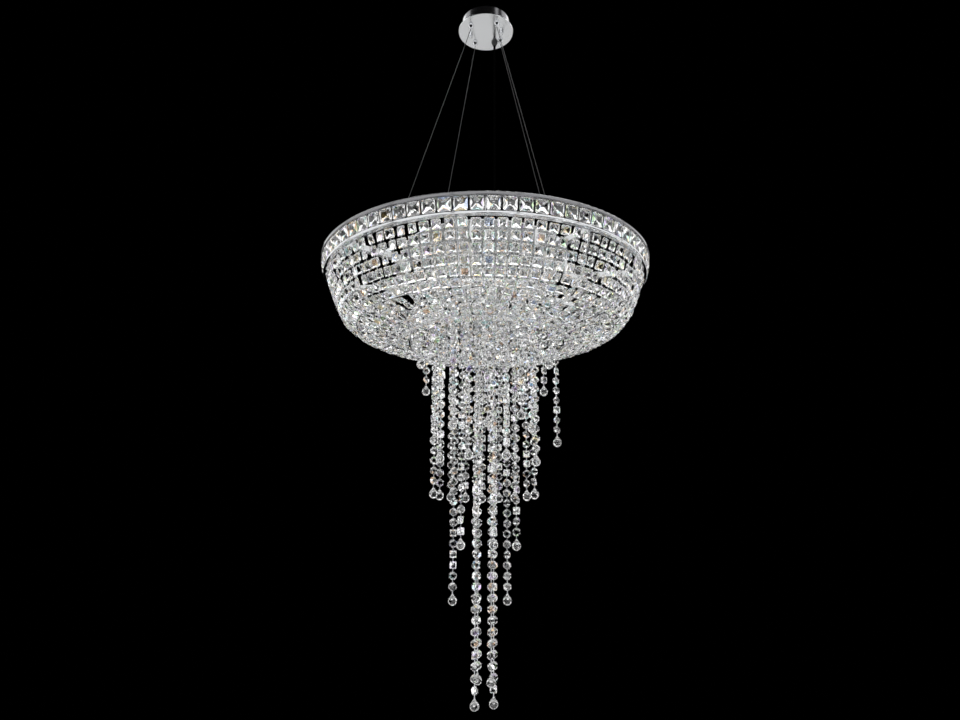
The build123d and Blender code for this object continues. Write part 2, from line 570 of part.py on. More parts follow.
# Cascade
def make_strand(bead_count):
    """A hanging strand turned round its wire: head, beads on pins, and an end drop."""
    head_bottom = PLATE_TOP + SEAT_GAP
    head_top = head_bottom + STRAND_HEAD_HEIGHT
    points = [(0, head_top), (STRAND_HEAD_RADIUS, head_top), (STRAND_HEAD_RADIUS, head_bottom)]
    points.append((PIN_RADIUS, head_bottom))
    first = PLATE_BOTTOM - FIRST_BEAD_DROP - BEAD_HEIGHT / 2
    for bead in range(bead_count):
        middle = first - bead * BEAD_PITCH
        points.append((PIN_RADIUS, middle + BEAD_HEIGHT / 2))
        points.append((BEAD_RADIUS, middle + BEAD_BAND / 2))
        points.append((BEAD_RADIUS, middle - BEAD_BAND / 2))
        points.append((PIN_RADIUS, middle - BEAD_HEIGHT / 2))
    last = first - (bead_count - 1) * BEAD_PITCH
    neck = last - BEAD_HEIGHT / 2 - (BEAD_PITCH - BEAD_HEIGHT)
    drop = neck - DROP_NECK_LENGTH
    shoulder = math.acos(DROP_RADIUS / DROP_NECK_LENGTH)
    shoulder_point = (DROP_RADIUS * math.sin(shoulder), drop + DROP_RADIUS * math.cos(shoulder))
    points.append((PIN_RADIUS, neck))
    points.append(shoulder_point)
    outline = Polyline(*points)
    outline += ThreePointArc(shoulder_point, (DROP_RADIUS, drop), (0, drop - DROP_RADIUS))
    outline += Line((0, drop - DROP_RADIUS), (0, head_top))
    return revolve(Plane.XZ * make_face(outline), Axis.Z)


def place_strands(radius, counts):
    """Strands on one circle, from a list of azimuths and bead counts."""
    made = {count: make_strand(count) for count in {count for _, count in counts}}
    return [at(azimuth, radius) * made[count] for azimuth, count in counts]


def inner_strands():
    azimuths = even_azimuths(INNER_COUNT, INNER_FIRST_AZIMUTH)
    return [(a, INNER_NEAR_BEAD_COUNT if faces_viewer(a) else INNER_FAR_BEAD_COUNT) for a in azimuths]


def middle_strands():
    azimuths = even_azimuths(MIDDLE_COUNT, MIDDLE_FIRST_AZIMUTH)
    near = [a for a in azimuths if faces_viewer(a)]
    counts = {a: MIDDLE_NEAR_BEAD_COUNTS[i % len(MIDDLE_NEAR_BEAD_COUNTS)] for i, a in enumerate(near)}
    return [(a, counts.get(a, MIDDLE_FAR_BEAD_COUNT)) for a in azimuths]


def outer_bead_count(azimuth):
    """Strands far out to a side are short and end inside the bowl."""
    if abs(math.sin(math.radians(azimuth))) > OUTER_SIDE_SHARE:
        return OUTER_SIDE_BEAD_COUNT
    return OUTER_NEAR_BEAD_COUNT if faces_viewer(azimuth) else OUTER_FAR_BEAD_COUNT


def outer_strands():
    azimuths = [a for a in even_azimuths(OUTER_COUNT, OUTER_FIRST_AZIMUTH) if a != LONG_STRAND_AZIMUTH]
    return [(azimuth, outer_bead_count(azimuth)) for azimuth in azimuths]


def make_core_strand(index):
    return at(wire_azimuths()[index], CORE_CIRCLE_RADIUS) * make_strand(CORE_BEAD_COUNTS[index])


def make_long_strand():
    return at(LONG_STRAND_AZIMUTH, OUTER_CIRCLE_RADIUS) * make_strand(LONG_STRAND_BEAD_COUNT)


# Bowl
def bowl_place(along, inside=0.0):
    """A place on the bowl's profile: local -Z runs down the profile, local X points outward."""
    corner = min(max(along - BOWL_WALL_LENGTH, 0), BOWL_CORNER_LENGTH)
    turn = BOWL_WALL_LEAN + math.degrees(corner / BOWL_CORNER_RADIUS)
    lean = math.radians(BOWL_WALL_LEAN)
    wall = min(along, BOWL_WALL_LENGTH)
    radius = WALL_STRAND_RADIUS - wall * math.sin(lean)
    height = RIM_BOTTOM - wall * math.cos(lean)
    angle = math.radians(turn)
    radius += BOWL_CORNER_RADIUS * (math.cos(angle) - math.cos(lean))
    height -= BOWL_CORNER_RADIUS * (math.sin(angle) - math.sin(lean))
    floor = max(along - BOWL_WALL_LENGTH - BOWL_CORNER_LENGTH, 0)
    radius -= floor * math.sin(angle) + inside * math.cos(angle)
    height -= floor * math.cos(angle) - inside * math.sin(angle)
    return Pos(radius, 0, height) * Rot(0, turn, 0)


def bowl_point(along, inside=0.0):
    return bowl_place(along, inside).position


def floor_edge_along():
    """Length down the profile to the edge of the bowl's open floor."""
    corner_end = BOWL_WALL_LENGTH + BOWL_CORNER_LENGTH
    inward = bowl_point(corner_end).X - FLOOR_EDGE_RADIUS
    return corner_end + inward / math.cos(math.radians(BOWL_FLOOR_SLOPE))


def wall_squares():
    """Lengths down the profile to the wall strands' squares."""
    return [FIRST_SQUARE_ALONG + i * SQUARE_PITCH for i in range(WALL_SQUARES)]


def floor_squares():
    """Lengths down the profile to the floor's squares, as many as fit before its edge."""
    first = FIRST_SQUARE_ALONG + WALL_SQUARES * SQUARE_PITCH
    room = floor_edge_along() - SQUARE_LENGTH / 2 - first
    return [first + i * SQUARE_PITCH for i in range(int(room / SQUARE_PITCH) + 1)]


def bottom_ring_along():
    """The bottom ring lies behind the last squares of the floor."""
    return floor_squares()[-1]


def strands_that_fit(along, gap, multiple):
    """How many strands of squares fit side by side round the bowl, in a whole multiple."""
    circumference = 2 * math.pi * bowl_point(along).X
    return int(circumference / (SQUARE_WIDTH + gap) / multiple) * multiple


def wall_strand_azimuths():
    count = strands_that_fit(wall_squares()[-1], WALL_SQUARE_GAP, SPOKE_COUNT)
    return even_azimuths(count, FIRST_WIRE_AZIMUTH + 180 / count)


def floor_strand_azimuths():
    count = strands_that_fit(floor_squares()[-1], FLOOR_SQUARE_GAP, FLOOR_STRAND_NODES)
    return even_azimuths(count, FIRST_WIRE_AZIMUTH)


def make_bowl_strand(squares, start, end):
    """Square crystals on a wire that runs from one place on the profile to another."""
    stops = [bowl_point(along) for along in sorted({start, *squares, end})]
    strand = Part() + [rod(a, b, PIN_RADIUS) for a, b in zip(stops, stops[1:])]
    square = Box(SQUARE_THICKNESS, SQUARE_WIDTH, SQUARE_LENGTH)
    return strand + [bowl_place(along) * square for along in squares]


def make_wall_strand():
    strand = make_bowl_strand(wall_squares(), 0, MID_HOOP_ALONG - MID_HOOP_RADIUS - SEAT_GAP)
    head_bottom = FLANGE_TOP + SEAT_GAP
    head = cylinder(STRAND_HEAD_RADIUS, head_bottom, head_bottom + STRAND_HEAD_HEIGHT)
    neck = cylinder(PIN_RADIUS, RIM_BOTTOM - PIN_RADIUS, head_bottom)
    return strand + Pos(WALL_STRAND_RADIUS, 0, 0) * (head + neck)


def make_floor_strand():
    end = bottom_ring_along()
    strand = make_bowl_strand(floor_squares(), MID_HOOP_ALONG + MID_HOOP_RADIUS + SEAT_GAP, end)
    hook_end = bowl_point(end, RIB_OFFSET - BOTTOM_RING_ROD - SEAT_GAP)
    return strand + rod(bowl_point(end), hook_end, PIN_RADIUS)


def torus_at(point, rod_radius):
    return Pos(0, 0, point.Z) * Torus(point.X, rod_radius)


def make_mid_hoop():
    return torus_at(bowl_point(MID_HOOP_ALONG), MID_HOOP_RADIUS)


def make_bottom_ring():
    return torus_at(bowl_point(bottom_ring_along(), RIB_OFFSET), BOTTOM_RING_ROD)


def make_bowl_ribs(mid_hoop, bottom_ring):
    """Bent rods inside the crystals, from the spokes to the bottom ring."""
    corner_end = BOWL_WALL_LENGTH + BOWL_CORNER_LENGTH
    corner_middle = BOWL_WALL_LENGTH + BOWL_CORNER_LENGTH / 2
    stops = [-FIRST_SQUARE_ALONG, BOWL_WALL_LENGTH, corner_middle, corner_end, bottom_ring_along()]
    top, wall, middle, corner, bottom = [bowl_point(along, RIB_OFFSET) for along in stops]
    path = Curve() + [Line(top, wall), ThreePointArc(wall, middle, corner), Line(corner, bottom)]
    rib = sweep((path ^ 0) * Circle(RIB_RADIUS), path)
    rib = split(rib, Plane.XY.offset(SPOKE_BOTTOM), keep=Keep.BOTTOM)
    rib += rod(bowl_point(MID_HOOP_ALONG, RIB_OFFSET), bowl_point(MID_HOOP_ALONG), MID_HOOP_RADIUS)
    rib -= bottom_ring
    return [at(azimuth) * (rib - mid_hoop) for azimuth in spoke_azimuths()]


def spread(shapes, count, index):
    """One of several equal runs of neighbouring shapes."""
    size = len(shapes) // count
    return shapes[index * size:(index + 1) * size]


def main():
    os.makedirs("parts", exist_ok=True)
    write("ceiling_bracket", make_ceiling_bracket())
    write("bracket_studs", make_bracket_studs())
    write("canopy", make_canopy())
    write("terminal_block", make_terminal_block())
    for number, azimuth in enumerate(stud_azimuths(), 1):
        write(f"cap_nut_{number}", make_cap_nut(azimuth))

    write("gripper_bodies", [make_gripper_body(a) for a in wire_azimuths()])
    write("gripper_nuts", [make_gripper_nut(a) for a in wire_azimuths()])
    write("wire_tails", [make_wire_tail(a) for a in wire_azimuths()])
    write("suspension_wires", [make_suspension_wire(a) for a in wire_azimuths()])
    write("wire_anchors", [make_wire_anchor(a) for a in wire_azimuths()])
    for number, azimuth in enumerate(wire_azimuths(), 1):
        write(f"gripper_collar_{number}", make_gripper_collar(azimuth))
    write("cord_gland", make_cord_gland())
    write("gland_nut", make_gland_nut())
    write("power_cord", make_power_cord())

    write("upper_hoop", make_upper_hoop())
    write("lower_hoop", make_lower_hoop())
    write("band_crystals", make_band_crystals())
    write("band_pins", make_band_pins())
    write("hoop_posts", make_hoop_posts())

    write("spokes", make_spokes())
    write("plate_columns", make_plate_columns())
    write("hanging_plate", make_hanging_plate())
    write("hub", make_hub())
    write("hub_cover", make_hub_cover())
    write("hub_screws", make_hub_screws())
    write("lamp_leads", make_lamp_leads())
    write("lamp_sockets", make_lamp_sockets())
    for number, azimuth in enumerate(spoke_azimuths(), 1):
        write(f"bulb_{number}", make_bulb(azimuth))

    write("cascade_inner", place_strands(INNER_CIRCLE_RADIUS, inner_strands()))
    write("cascade_middle", place_strands(MIDDLE_CIRCLE_RADIUS, middle_strands()))
    write("cascade_outer", place_strands(OUTER_CIRCLE_RADIUS, outer_strands()))
    for index in range(WIRE_COUNT):
        write(f"core_strand_{index + 1}", make_core_strand(index))
    write("long_strand", make_long_strand())

    mid_hoop = make_mid_hoop()
    bottom_ring = make_bottom_ring()
    write("mid_hoop", mid_hoop)
    write("bottom_ring", bottom_ring)
    write("bowl_ribs", make_bowl_ribs(mid_hoop, bottom_ring))
    wall_strand = make_wall_strand()
    wall_strands = [at(a) * wall_strand for a in wall_strand_azimuths()]
    for index in range(WALL_STRAND_NODES):
        write(f"wall_strands_{index + 1}", spread(wall_strands, WALL_STRAND_NODES, index))
    floor_strand = make_floor_strand()
    floor_strands = [at(a) * floor_strand for a in floor_strand_azimuths()]
    for index in range(FLOOR_STRAND_NODES):
        write(f"floor_strands_{index + 1}", spread(floor_strands, FLOOR_STRAND_NODES, index))


main()
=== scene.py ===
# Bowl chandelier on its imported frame: cut crystals, chrome, wires and lamps.
import json
import math
import random

import bpy
from mathutils import Matrix, Vector


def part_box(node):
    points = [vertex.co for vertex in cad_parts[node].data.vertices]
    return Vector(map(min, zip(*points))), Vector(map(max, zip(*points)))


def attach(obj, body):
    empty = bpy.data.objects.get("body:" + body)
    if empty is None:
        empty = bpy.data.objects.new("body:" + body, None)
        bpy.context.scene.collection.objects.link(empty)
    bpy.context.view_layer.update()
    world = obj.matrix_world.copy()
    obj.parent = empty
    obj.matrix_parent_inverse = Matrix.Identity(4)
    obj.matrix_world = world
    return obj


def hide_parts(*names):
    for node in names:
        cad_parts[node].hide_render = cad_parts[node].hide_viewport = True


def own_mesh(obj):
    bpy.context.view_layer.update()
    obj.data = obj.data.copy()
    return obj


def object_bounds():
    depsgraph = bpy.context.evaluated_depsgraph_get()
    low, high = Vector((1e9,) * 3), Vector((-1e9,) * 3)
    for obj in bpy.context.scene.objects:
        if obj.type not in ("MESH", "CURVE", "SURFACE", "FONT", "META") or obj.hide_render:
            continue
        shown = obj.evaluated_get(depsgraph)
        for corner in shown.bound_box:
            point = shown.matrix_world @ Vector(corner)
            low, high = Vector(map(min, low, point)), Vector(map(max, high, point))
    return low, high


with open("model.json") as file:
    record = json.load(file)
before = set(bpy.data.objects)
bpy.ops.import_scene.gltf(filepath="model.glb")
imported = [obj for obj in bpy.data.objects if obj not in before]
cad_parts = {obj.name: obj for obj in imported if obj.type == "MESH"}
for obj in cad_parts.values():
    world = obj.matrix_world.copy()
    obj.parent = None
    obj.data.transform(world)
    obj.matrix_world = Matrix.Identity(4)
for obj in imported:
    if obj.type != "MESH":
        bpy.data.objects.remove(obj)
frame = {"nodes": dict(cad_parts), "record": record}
cad_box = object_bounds()
nodes = frame["nodes"]

# Photograph: frame in pixels and the camera fitted to it
PHOTO_WIDTH = 960
FOCAL_PIXELS = 778.5
AXIS_PIXEL_FROM_MIDDLE = 5.0
CAMERA_BELOW_RIM = 0.7060
CAMERA_FROM_AXIS = 1.7023
CAMERA_TILT = math.radians(15.758)
CAMERA_ROLL = math.radians(0.15)
SENSOR_WIDTH = 36.0

# Sizes shared with the solids, in metres
TILE_COUNT = 74
TILE_SIZE = 0.0276
TILE_DEPTH = 0.011
TILE_BEVEL = 0.004
TILE_STANDS_OUT = 0.0015
BEAD_PITCH = 0.0223
FIRST_BEAD_DROP = 0.004
BEAD_HEIGHT = 0.017
BEAD_WIDTH = 0.0166
DROP_RADIUS = 0.0095
DROP_NECK = 0.015
SQUARE_WIDTH = 0.020
SQUARE_LENGTH = 0.019
SQUARE_PITCH = 0.0234
SQUARE_THICKNESS = 0.008
FIRST_SQUARE_ALONG = 0.0115
WALL_STRANDS = 88
WALL_SQUARES = 6
WALL_STRAND_NODES = 4
FLOOR_STRANDS = 54
FLOOR_SQUARES = 5
FLOOR_STRAND_NODES = 2
CORE_STRANDS = 4
FIRST_WIRE_AZIMUTH = 36.0
BOWL_START_RADIUS = 0.3628
BOWL_WALL_LEAN = math.radians(21.5)
BOWL_WALL_LENGTH = 0.0752
BOWL_CORNER_RADIUS = 0.082
BOWL_FLOOR_SLOPE = math.radians(17.3)

# Square cut: shares of the table, corners, crown and girdle, and the bevel in metres
TILE_TABLES = (0.18, 0.30, 0.42)
SQUARE_TABLES = (0.50, 0.58, 0.66)
SQUARE_CORNER = 0.09
SQUARE_CROWN = 0.6
SQUARE_GIRDLE = 0.14
SQUARE_BEVEL = 0.0022

# Back of a square stone: size and depth of each ring of facets, as shares
PAVILION = [(0.06, 1.0), (0.46, 0.66), (0.78, 0.33), (0.93, 0.12), (1.0, 0.0)]

# Strand beads: thickness in metres, then octagons and fewer squares as shares of the bead's room
BEAD_THICKNESS = 0.0105
OCTAGON_SIDES = 8
FLAT_TO_CORNER = math.cos(math.pi / OCTAGON_SIDES)
OCTAGON_TABLE = 0.56
OCTAGON_GIRDLE = 0.10
OCTAGON_WIDTH = 0.93
OCTAGON_HEIGHT = 0.95
SQUARE_BEAD_CHANCE = 0.2
SQUARE_BEAD_TABLE = 0.60
SQUARE_BEAD_WIDTH = 0.86
SQUARE_BEAD_HEIGHT = 0.92
SQUARE_BEAD_THICKNESS = 0.9

# Drops and pins: facets round, rings from bottom to shoulder, pin radius in metres and pin ends
DROP_SIDES = 24
DROP_LEVELS = 12
DROP_BOTTOM = 0.97
PIN_SIDES = 6
PIN_RADIUS = 0.0008
PIN_END_IN_BEAD = 0.42
PIN_END_IN_DROP = 0.85

# How far stones turn and strands slip on their loose pins, in radians and metres
TILE_LOOSE = math.radians(1.5)
SQUARE_LOOSE = math.radians(16)
BEAD_LOOSE = math.radians(30)
STRAND_TURN = 0.5
STRAND_SLACK = 0.0024

# Painted fire: spectral colours painted on facets in place of dispersed light, the share of facets that show
# one, and the least shade of the others
PAINTED_FIRE = [(0.45, 0.60, 1.0), (1.0, 0.76, 0.35), (0.50, 0.92, 0.90),
        (1.0, 0.55, 0.30), (0.75, 0.55, 1.0), (0.65, 1.0, 0.50)]
BOWL_PAINTED_FIRE = 0.14
CASCADE_PAINTED_FIRE = 0.09
CLEAR_SHADE = 0.93

# Finishes: glass, surface grain in metres, and the canopy's plate as a share of its height, above which its
# side has painted shade
CRYSTAL_IOR = 1.62
GRAIN_HEIGHT = 0.0003
CANOPY_PLATE_SHARE = 0.1

# Stage floor and the point the panels face, in metres
FLOOR_RADIUS = 3.4
FLOOR_BELOW = 1.2
FLOOR_SIDES = 96
AIM_BELOW_RIM = 0.25

# Light paths through the stones and between the metal pieces
GLASS_BOUNCES = 32
GLOSSY_BOUNCES = 16

# Soft panels: name, azimuths, elevation, distance, width, height, radiance
PANEL_RINGS = [
    ("belt", (-120, -80, -40, 0, 40, 80, 120), 22, 2.6, 1.6, 1.6, 1.2),
    ("low", (-120, -84, -48, -16, 16, 48, 84, 120), -24, 2.5, 0.8, 1.4, 1.7),
    ("high", (-150, -115, 115, 150), 60, 2.6, 1.6, 1.4, 1.3),
    ("streak", (55,), 60, 2.6, 0.4, 1.2, 1.2),
    ("under_canopy", (180,), -24, 3.0, 1.0, 0.6, 0.95),
]

RIM_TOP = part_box("upper_hoop")[1][2]
RIM_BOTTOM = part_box("lower_hoop")[0][2]
RIM_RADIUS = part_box("upper_hoop")[1][0]

# Points that agree to this many decimals, in metres, are one corner of a solid
WELD_DECIMALS = 6

random.seed(7)


# Mesh building
def link_object(name, data):
    """A new object in the scene."""
    piece = bpy.data.objects.new(name, data)
    bpy.context.scene.collection.objects.link(piece)
    return piece


class MeshBuilder:
    """Collects faceted shapes into one mesh, with a tint on each face."""

    def __init__(self):
        self.points = []
        self.faces = []
        self.tints = []

    def add(self, shape, matrix, painted_fire=0.0):
        """Place a shape; its fire share is the share of its facets painted with a spectral colour, as
        painted dispersed light.
        """
        points, faces = shape
        start = len(self.points)
        self.points += [matrix @ Vector(p) for p in points]
        for face in faces:
            self.faces.append([start + i for i in face])
            self.tints.append(pick_tint(painted_fire) if painted_fire else (1.0, 1.0, 1.0, 1.0))

    def build(self, name, material, body):
        """Make the piece, which moves with a body and has a material slot."""
        mesh = bpy.data.meshes.new(name)
        mesh.from_pydata(self.points, [], self.faces)
        layer = mesh.color_attributes.new("painted_fire", "FLOAT_COLOR", "CORNER")
        for polygon, tint in zip(mesh.polygons, self.tints):
            for loop in polygon.loop_indices:
                layer.data[loop].color = tint
        mesh.materials.append(material)
        piece = link_object(name, mesh)
        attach(piece, body)
        return piece


def pick_tint(painted_fire):
    """Most facets are clear; a share of them get a spectral colour painted on, as painted fire in place of
    dispersed light.
    """
    if random.random() < painted_fire:
        return (*random.choice(PAINTED_FIRE), 1.0)
    shade = random.uniform(CLEAR_SHADE, 1.0)
    return (shade, shade, shade, 1.0)


def loft(rings):
    """Faces through rings of points of equal count, closed at both ends."""
    count = len(rings[0])
    points = [p for ring in rings for p in ring]
    faces = [list(range(count))[::-1]]
    for level in range(len(rings) - 1):
        low = level * count
        for i in range(count):
            j = (i + 1) % count
            faces.append([low + i, low + j, low + count + j, low + count + i])
    faces.append([(len(rings) - 1) * count + i for i in range(count)])
    return points, faces


def zigzag(rings):
    """Triangular facets between rings turned by half a step against each other."""
    count = len(rings[0])
    points = [p for ring in rings for p in ring]
    faces = [list(range(count))[::-1]]
    for level in range(len(rings) - 1):
        low = level * count
        high = low + count
        turned = level % 2
        for i in range(count):
            j = (i + 1) % count
            if turned:
                faces.append([low + i, low + j, high + j])
                faces.append([low + i, high + j, high + i])
            else:
                faces.append([low + i, low + j, high + i])
                faces.append([low + j, high + j, high + i])
    faces.append([(len(rings) - 1) * count + i for i in range(count)])
    return points, faces


def circle_ring(sides, radius, z):
    """A ring of points round Z at one height."""
    angles = [2 * math.pi * i / sides for i in range(sides)]
    return [(radius * math.cos(a), radius * math.sin(a), z) for a in angles]


def octagon_ring(width, length, x):
    """An octagon of points in the YZ plane at one X, with flats towards Y and Z."""
    angles = [2 * math.pi * (i + 0.5) / OCTAGON_SIDES for i in range(OCTAGON_SIDES)]
    return [(x, width / 2 * math.cos(a), length / 2 * math.sin(a)) for a in angles]


def square_ring(width, length, cut):
    """A square with cut corners in the YZ plane, eight points round."""
    w, h = width / 2, length / 2
    corners = [(w, -h + cut), (w, h - cut), (w - cut, h), (-w + cut, h),
               (-w, h - cut), (-w, -h + cut), (-w + cut, -h), (w - cut, -h)]
    return [(0.0, y, z) for y, z in corners]


def scaled(ring, scale, x):
    """The ring drawn in by a scale, at another X."""
    return [(x, scale * y, scale * z) for _, y, z in ring]


def midway(ring, scale, x):
    """The middles of the ring's sides, drawn in by a scale, at another X."""
    pairs = zip(ring, ring[1:] + ring[:1])
    return [(x, scale * (a[1] + b[1]) / 2, scale * (a[2] + b[2]) / 2) for a, b in pairs]


def cut_stone(back_rings, front_rings):
    """A stone with triangular facets behind and in front of a straight girdle."""
    back, front = zigzag(back_rings), zigzag(front_rings)
    count = len(back_rings[0])
    start = len(back[0])
    girdle = start - count
    faces = back[1][:-1]
    for i in range(count):
        j = (i + 1) % count
        faces.append([girdle + i, girdle + j, start + j, start + i])
    faces += [[start + i for i in face] for face in front[1][1:]]
    return back[0] + front[0], faces


def square_stone(width, length, thickness, bevel, table):
    """A square cut: a table with star facets in front, a full pyramid of facets behind."""
    half = thickness / 2
    girdle_front = half - bevel
    girdle_back = girdle_front - thickness * SQUARE_GIRDLE
    outline = square_ring(width, length, width * SQUARE_CORNER)
    crown = girdle_front + SQUARE_CROWN * bevel
    back = []
    for level, (size, depth) in enumerate(PAVILION):
        shape = midway if level % 2 else scaled
        back.append(shape(outline, size, girdle_back - depth * (girdle_back + half)))
    front = [scaled(outline, 1.0, girdle_front), midway(outline, (1 + table) / 2, crown)]
    front.append(scaled(outline, table, half))
    return cut_stone(back, front)


def square_stones(width, length, thickness, bevel, tables):
    """A few cuts of one square size, so that neighbours don't sparkle alike."""
    return [square_stone(width, length, thickness, bevel, table) for table in tables]


def octagon_stone(width, length, thickness):
    """An octagon cut: a flat table, eight broad facets and a thin girdle, alike on both sides."""
    scale = 1 / FLAT_TO_CORNER
    half = thickness / 2
    levels = [(-1.0, OCTAGON_TABLE), (-OCTAGON_GIRDLE, scale), (OCTAGON_GIRDLE, scale), (1.0, OCTAGON_TABLE)]
    return loft([octagon_ring(width * size, length * size, half * x) for x, size in levels])


def drop_stone(radius, neck):
    """A clear ball drawn up to a point."""
    shoulder = math.acos(radius / neck)
    bottom = math.pi * DROP_BOTTOM
    turns = [bottom + (shoulder - bottom) * i / DROP_LEVELS for i in range(DROP_LEVELS + 1)]
    profile = [(radius * math.sin(t), radius * math.cos(t)) for t in turns] + [(PIN_RADIUS, neck)]
    return loft([circle_ring(DROP_SIDES, r, z) for r, z in profile])


def pin_shape(length, radius):
    """A thin wire along Z, centred on its middle."""
    return loft([circle_ring(PIN_SIDES, radius, z) for z in (-length / 2, length / 2)])


def rod_between(start, end, radius):
    """A thin wire between two points, as a shape and its place."""
    axis = end - start
    turn = axis.to_track_quat("Z", "Y").to_matrix().to_4x4()
    return pin_shape(axis.length, radius), Matrix.Translation((start + end) / 2) @ turn


def at(azimuth):
    """A turn whose local X points outward at an azimuth in degrees from -Y towards +X."""
    return Matrix.Rotation(math.radians(azimuth - 90), 4, "Z")


# Materials
def new_material(name):
    """A material with its shader nodes and links."""
    material = bpy.data.materials.new(name)
    material.use_nodes = True
    return material, material.node_tree.nodes, material.node_tree.links


def crystal_material():
    """Clear cut glass, tinted facet by facet, with spectral colours painted on some facets in place of
    dispersed light.
    """
    material, tree, links = new_material("cut_crystal")
    shader = tree["Principled BSDF"]
    shader.inputs["Roughness"].default_value = 0.0
    shader.inputs["IOR"].default_value = CRYSTAL_IOR
    shader.inputs["Transmission Weight"].default_value = 1.0
    # Painted fire: the facet colours stand in for dispersed light.
    painted_fire = tree.new("ShaderNodeVertexColor")
    painted_fire.layer_name = "painted_fire"
    links.new(painted_fire.outputs["Color"], shader.inputs["Base Color"])
    return material


def metal_material(name, color, roughness, grain, grain_scale=600.0):
    """Plated metal with faint polishing marks in its roughness."""
    material, tree, links = new_material(name)
    shader = tree["Principled BSDF"]
    shader.inputs["Base Color"].default_value = (*color, 1)
    shader.inputs["Metallic"].default_value = 1.0
    noise = tree.new("ShaderNodeTexNoise")
    noise.inputs["Scale"].default_value = grain_scale
    noise.inputs["Detail"].default_value = 3.0
    span = tree.new("ShaderNodeMapRange")
    span.inputs["To Min"].default_value = roughness
    span.inputs["To Max"].default_value = roughness + grain
    links.new(noise.outputs["Fac"], span.inputs["Value"])
    links.new(span.outputs["Result"], shader.inputs["Roughness"])
    return material


def paint_shade_above(material, level, color):
    """Paint shade on a material: a second, darker base colour above a level, a share of the piece's height.
    """
    tree, links = material.node_tree.nodes, material.node_tree.links
    shader = tree["Principled BSDF"]
    place = tree.new("ShaderNodeTexCoord")
    parts = tree.new("ShaderNodeSeparateXYZ")
    above = tree.new("ShaderNodeMath")
    above.operation = "GREATER_THAN"
    above.inputs[1].default_value = level
    mix = tree.new("ShaderNodeMixRGB")
    mix.inputs["Color1"].default_value = shader.inputs["Base Color"].default_value
    mix.inputs["Color2"].default_value = (*color, 1)
    links.new(place.outputs["Generated"], parts.inputs["Vector"])
    links.new(parts.outputs["Z"], above.inputs[0])
    links.new(above.outputs["Value"], mix.inputs["Fac"])
    links.new(mix.outputs["Color"], shader.inputs["Base Color"])


def plain_material(name, color, roughness, bump, scale):
    """Moulded plastic, rubber or ceramic with a fine surface grain."""
    material, tree, links = new_material(name)
    shader = tree["Principled BSDF"]
    shader.inputs["Base Color"].default_value = (*color, 1)
    shader.inputs["Roughness"].default_value = roughness
    noise = tree.new("ShaderNodeTexNoise")
    noise.inputs["Scale"].default_value = scale
    lift = tree.new("ShaderNodeBump")
    lift.inputs["Strength"].default_value = bump
    lift.inputs["Distance"].default_value = GRAIN_HEIGHT
    links.new(noise.outputs["Fac"], lift.inputs["Height"])
    links.new(lift.outputs["Normal"], shader.inputs["Normal"])
    return material


def bulb_material():
    """Frosted lamp glass."""
    material, tree, _ = new_material("frosted_bulb")
    shader = tree["Principled BSDF"]
    shader.inputs["Base Color"].default_value = (0.96, 0.94, 0.90, 1)
    shader.inputs["Roughness"].default_value = 0.15
    shader.inputs["Transmission Weight"].default_value = 0.9
    return material


CRYSTAL = crystal_material()
CHROME = metal_material("polished_chrome", (0.70, 0.71, 0.73), 0.08, 0.05)
# Painted shade: the upper hoop's chrome is a darker copy (0.22 against 0.70) of the polished chrome, so that
# it looks dim.
SHADED_HOOP_CHROME = metal_material("hoop_chrome_painted_shade", (0.22, 0.22, 0.23), 0.10, 0.06)
SIDE_SHADED_CANOPY_CHROME = metal_material("canopy_chrome_painted_side_shade", (0.69, 0.70, 0.71), 0.18, 0.05)
# Painted shade: the canopy's side above its bottom plate is painted dark grey (0.20), so that it looks
# shaded against the bright underside.
paint_shade_above(SIDE_SHADED_CANOPY_CHROME, CANOPY_PLATE_SHARE, (0.20, 0.20, 0.21))
FRAME_STEEL = metal_material("frame_chrome", (0.58, 0.59, 0.60), 0.12, 0.08)
ZINC = metal_material("zinc_steel", (0.62, 0.63, 0.65), 0.28, 0.15, 250.0)
WIRE = metal_material("steel_wire", (0.66, 0.67, 0.69), 0.22, 0.15, 3000.0)
# Painted shade: the hanging wires' steel is painted near black (0.06), a dark copy of the steel wire, so
# that they look dim.
SHADED_CABLE = metal_material("stranded_cable_painted_shade", (0.06, 0.06, 0.062), 0.35, 0.2, 3000.0)
BLACK = plain_material("black_nylon", (0.025, 0.025, 0.026), 0.45, 0.3, 900.0)
JACKET = plain_material("cord_jacket", (0.001, 0.001, 0.001), 0.9, 0.4, 700.0)
JACKET.node_tree.nodes["Principled BSDF"].inputs["Specular IOR Level"].default_value = 0.0
WHITE = plain_material("terminal_plastic", (0.85, 0.85, 0.82), 0.4, 0.2, 800.0)
CERAMIC = plain_material("lamp_ceramic", (0.90, 0.89, 0.86), 0.3, 0.2, 500.0)
BULB = bulb_material()

FINISH = {"chrome": CHROME, "frame_steel": FRAME_STEEL, "zinc_steel": ZINC, "wire": WIRE,
          "black_plastic": BLACK, "cord_jacket": JACKET, "terminal_plastic": WHITE,
          "lamp_ceramic": CERAMIC, "bulb_glass": BULB, "crystal": CRYSTAL}


def dress_nodes():
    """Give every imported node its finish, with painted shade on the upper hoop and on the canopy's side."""
    for part in frame["record"]["subparts"]:
        node = nodes[part["node"]]
        node.data.materials.clear()
        node.data.materials.append(FINISH[part["material_slot"]])
    # Painted shade: the upper hoop gets the darker copy of the chrome.
    nodes["upper_hoop"].data.materials[0] = SHADED_HOOP_CHROME
    # Painted shade: the canopy gets the chrome with its side painted dark.
    nodes["canopy"].data.materials[0] = SIDE_SHADED_CANOPY_CHROME


